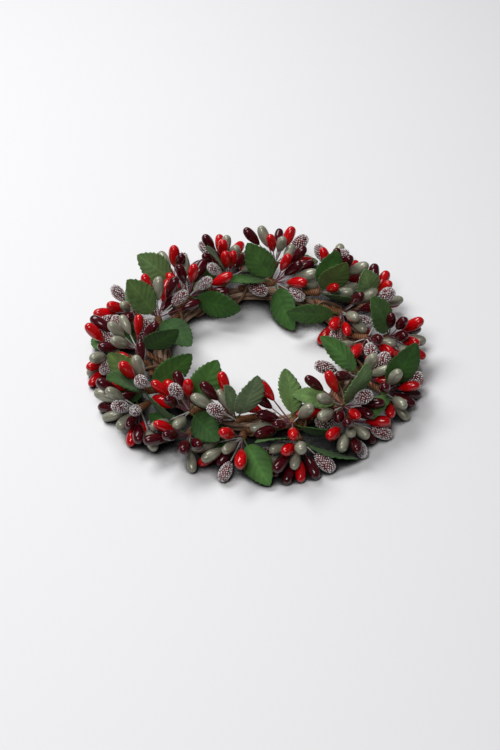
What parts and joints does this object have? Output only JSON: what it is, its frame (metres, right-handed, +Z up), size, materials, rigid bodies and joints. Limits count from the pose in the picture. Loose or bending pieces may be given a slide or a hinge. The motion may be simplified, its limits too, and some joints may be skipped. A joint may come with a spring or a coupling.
{
  "type": "candle ring",
  "caption": "Round candle ring: a wound vine hoop with taped picks of glossy red, burgundy and sage pip berries, frosted berries and green fabric leaves around an open centre.",
  "frame": {"origin": "centre of the candle opening, on the table that the ring lies on", "axes": "+Z up through the opening, -Y towards the side that faces the picture, +X to its right"},
  "size_m": [0.2026, 0.201, 0.0515],
  "materials": {
    "red_lacquer": "gloss lacquer",
    "burgundy_lacquer": "gloss lacquer",
    "sage_lacquer": "gloss lacquer",
    "frosted_beads": "sugared with clear beads",
    "leaf_fabric": "pressed woven fabric",
    "floral_tape": "waxed crepe tape",
    "vine_bark": "dry bark",
    "binder_twig": "dry bark"
  },
  "bodies": {
    "root": {"back_burgundy_pips": "burgundy_lacquer", "back_frosted_pips": "frosted_beads", "back_leaves": "leaf_fabric", "back_left_burgundy_pips": "burgundy_lacquer", "back_left_frosted_pips": "frosted_beads", "back_left_leaves": "leaf_fabric", "back_left_red_pips": "red_lacquer", "back_left_sage_pips": "sage_lacquer", "back_left_taped_stems": "floral_tape", "back_red_pips": "red_lacquer", "back_right_burgundy_pips": "burgundy_lacquer", "back_right_frosted_pips": "frosted_beads", "back_right_leaves": "leaf_fabric", "back_right_red_pips": "red_lacquer", "back_right_sage_pips": "sage_lacquer", "back_right_taped_stems": "floral_tape", "back_sage_pips": "sage_lacquer", "back_taped_stems": "floral_tape", "front_burgundy_pips": "burgundy_lacquer", "front_frosted_pips": "frosted_beads", "front_leaves": "leaf_fabric", "front_left_burgundy_pips": "burgundy_lacquer", "front_left_frosted_pips": "frosted_beads", "front_left_leaves": "leaf_fabric", "front_left_red_pips": "red_lacquer", "front_left_sage_pips": "sage_lacquer", "front_left_taped_stems": "floral_tape", "front_red_pips": "red_lacquer", "front_right_burgundy_pips": "burgundy_lacquer", "front_right_frosted_pips": "frosted_beads", "front_right_leaves": "leaf_fabric", "front_right_red_pips": "red_lacquer", "front_right_sage_pips": "sage_lacquer", "front_right_taped_stems": "floral_tape", "front_sage_pips": "sage_lacquer", "front_taped_stems": "floral_tape", "left_burgundy_pips": "burgundy_lacquer", "left_frosted_pips": "frosted_beads", "left_leaves": "leaf_fabric", "left_red_pips": "red_lacquer", "left_sage_pips": "sage_lacquer", "left_taped_stems": "floral_tape", "right_burgundy_pips": "burgundy_lacquer", "right_frosted_pips": "frosted_beads", "right_leaves": "leaf_fabric", "right_red_pips": "red_lacquer", "right_sage_pips": "sage_lacquer", "right_taped_stems": "floral_tape", "vine_1": "vine_bark", "vine_2": "vine_bark", "vine_binder": "binder_twig"}
  },
  "joints": []
}
